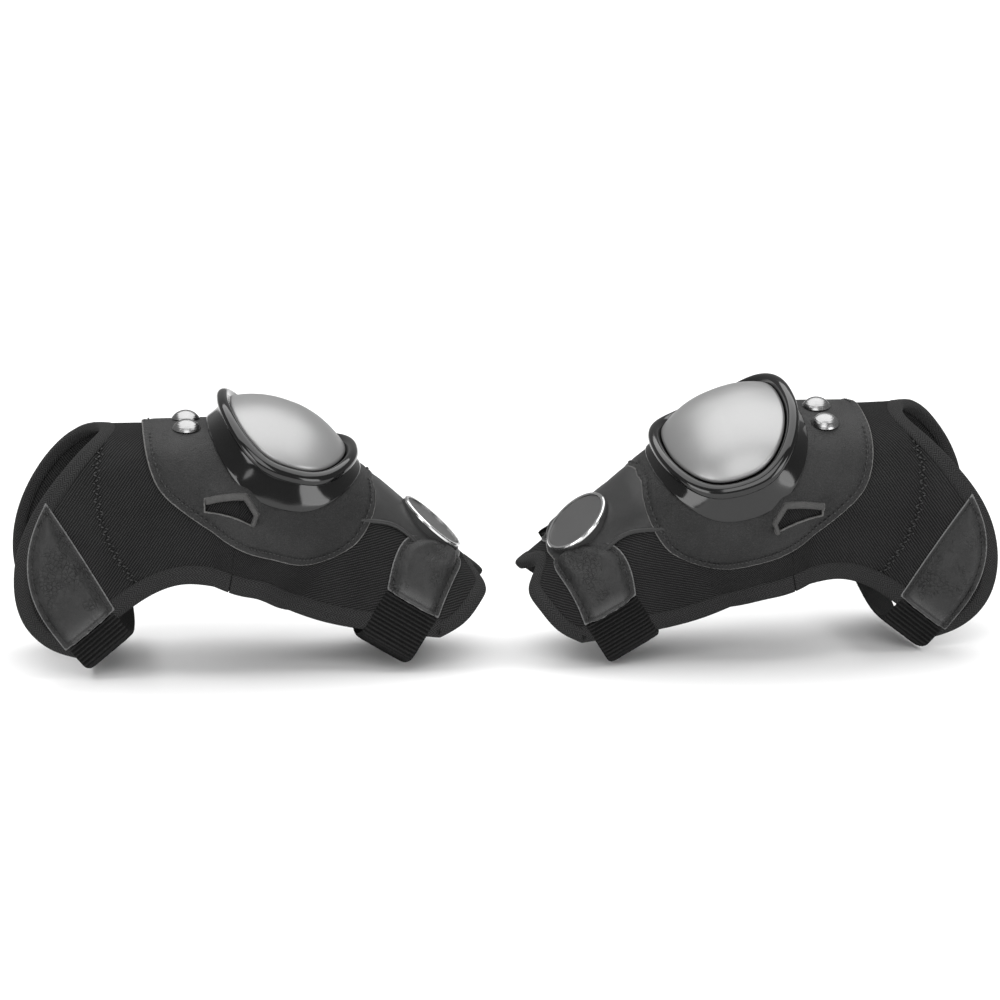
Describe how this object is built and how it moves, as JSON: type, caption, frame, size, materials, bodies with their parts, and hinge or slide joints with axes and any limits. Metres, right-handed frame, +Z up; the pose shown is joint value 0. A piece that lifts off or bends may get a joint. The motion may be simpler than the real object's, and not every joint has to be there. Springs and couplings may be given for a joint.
{
  "type": "knee guards",
  "caption": "Pair of black padded knee guards with leather bibs, flared cups over silver domes, leather shin panels with a plain badge, and hook-and-loop straps.",
  "frame": {"origin": "Middle of the pair's box, at its lowest point, which is the surface that the straps stand on.", "axes": "+X runs from the right-knee guard to the left-knee guard, +Z is up, and +Y points away from the outer sides that are shown."},
  "size_m": [0.6612, 0.184, 0.1858],
  "materials": {
    "textile": "matt ribbed knit",
    "foam": "closed-cell foam",
    "lining": "soft brushed knit",
    "leather": "matt grained leather",
    "cup": "gloss black",
    "dome": "satin silver",
    "steel": "polished steel",
    "badge": "plain grey",
    "badge_rim": "bright rim",
    "backing": "soft rubber",
    "webbing": "ribbed elastic webbing",
    "binding": "herringbone tape",
    "hook": "hook tape"
  },
  "bodies": {
    "right_knee": {"right_knee_textile": "textile", "right_knee_foam": "foam", "right_knee_lining": "lining", "right_bib": "leather", "right_bib_slot_lips": "leather", "right_cup_shell": "cup", "right_cup_dome": "dome", "right_rivets": "steel", "right_rivet_washers": "steel", "right_knee_edge_binding": "binding"},
    "right_thigh": {"right_thigh_backings": "foam", "right_thigh_hems": "binding", "right_thigh_tab_inner": "leather", "right_thigh_tab_outer": "leather", "right_thigh_wing_inner": "textile", "right_thigh_wing_outer": "textile"},
    "right_shin": {"right_badge_base": "backing", "right_badge_disc": "badge", "right_badge_rim": "badge_rim", "right_shin_edge_binding": "binding", "right_shin_foam": "foam", "right_shin_lining": "lining", "right_shin_panel": "leather", "right_shin_piping": "leather", "right_shin_sides": "textile", "right_shin_tabs": "leather"},
    "right_thigh_strap": {"right_thigh_strap": "webbing", "right_thigh_strap_hook": "hook"},
    "right_shin_strap": {"right_shin_strap": "webbing", "right_shin_strap_hook": "hook"},
    "left_knee": {"left_knee_textile": "textile", "left_knee_foam": "foam", "left_knee_lining": "lining", "left_bib": "leather", "left_bib_slot_lips": "leather", "left_cup_shell": "cup", "left_cup_dome": "dome", "left_rivets": "steel", "left_rivet_washers": "steel", "left_knee_edge_binding": "binding"},
    "left_thigh": {"left_thigh_backings": "foam", "left_thigh_hems": "binding", "left_thigh_tab_inner": "leather", "left_thigh_tab_outer": "leather", "left_thigh_wing_inner": "textile", "left_thigh_wing_outer": "textile"},
    "left_shin": {"left_badge_base": "backing", "left_badge_disc": "badge", "left_badge_rim": "badge_rim", "left_shin_edge_binding": "binding", "left_shin_foam": "foam", "left_shin_lining": "lining", "left_shin_panel": "leather", "left_shin_piping": "leather", "left_shin_sides": "textile", "left_shin_tabs": "leather"},
    "left_thigh_strap": {"left_thigh_strap": "webbing", "left_thigh_strap_hook": "hook"},
    "left_shin_strap": {"left_shin_strap": "webbing", "left_shin_strap_hook": "hook"}
  },
  "joints": [
    {"name": "right_thigh_flex", "type": "hinge", "parent": "right_knee", "child": "right_thigh", "pos_m": [-0.1728, -0.02673, 0.13246], "axis": [-0.0593, 0.9982, 0], "range_deg": [-15, 20], "stiffness_Nm_per_rad": 4},
    {"name": "right_shin_flex", "type": "hinge", "parent": "right_knee", "child": "right_shin", "pos_m": [-0.1728, -0.02673, 0.13246], "axis": [-0.0593, 0.9982, 0], "range_deg": [-14, 15], "stiffness_Nm_per_rad": 4},
    {"name": "right_thigh_strap_open", "type": "hinge", "parent": "right_thigh", "child": "right_thigh_strap", "pos_m": [-0.27487, -0.08439, 0.03433], "axis": [-0.7617, -0.0453, -0.6463], "range_deg": [0, 90]},
    {"name": "right_shin_strap_open", "type": "hinge", "parent": "right_shin", "child": "right_shin_strap", "pos_m": [-0.06133, -0.0677, 0.04773], "axis": [-0.8526, -0.0507, 0.5201], "range_deg": [0, 90]},
    {"name": "left_thigh_flex", "type": "hinge", "parent": "left_knee", "child": "left_thigh", "pos_m": [0.1712, -0.00973, 0.13393], "axis": [0.2034, -0.9568, -0.2079], "range_deg": [-15, 20], "stiffness_Nm_per_rad": 4},
    {"name": "left_shin_flex", "type": "hinge", "parent": "left_knee", "child": "left_shin", "pos_m": [0.1712, -0.00973, 0.13393], "axis": [0.2034, -0.9568, -0.2079], "range_deg": [-14, 15], "stiffness_Nm_per_rad": 4},
    {"name": "left_thigh_strap_open", "type": "hinge", "parent": "left_thigh", "child": "left_thigh_strap", "pos_m": [0.28043, -0.01716, 0.02724], "axis": [-0.7184, -0.2901, 0.6322], "range_deg": [0, 90]},
    {"name": "left_shin_strap_open", "type": "hinge", "parent": "left_shin", "child": "left_shin_strap", "pos_m": [0.07073, -0.06058, 0.04117], "axis": [-0.8579, -0.0718, -0.5088], "range_deg": [0, 90]},
    {"name": "pair_spacing", "type": "slide", "parent": "right_knee", "child": "left_knee", "axis": [1, 0, 0], "range_m": [0, 0.1]}
  ]
}
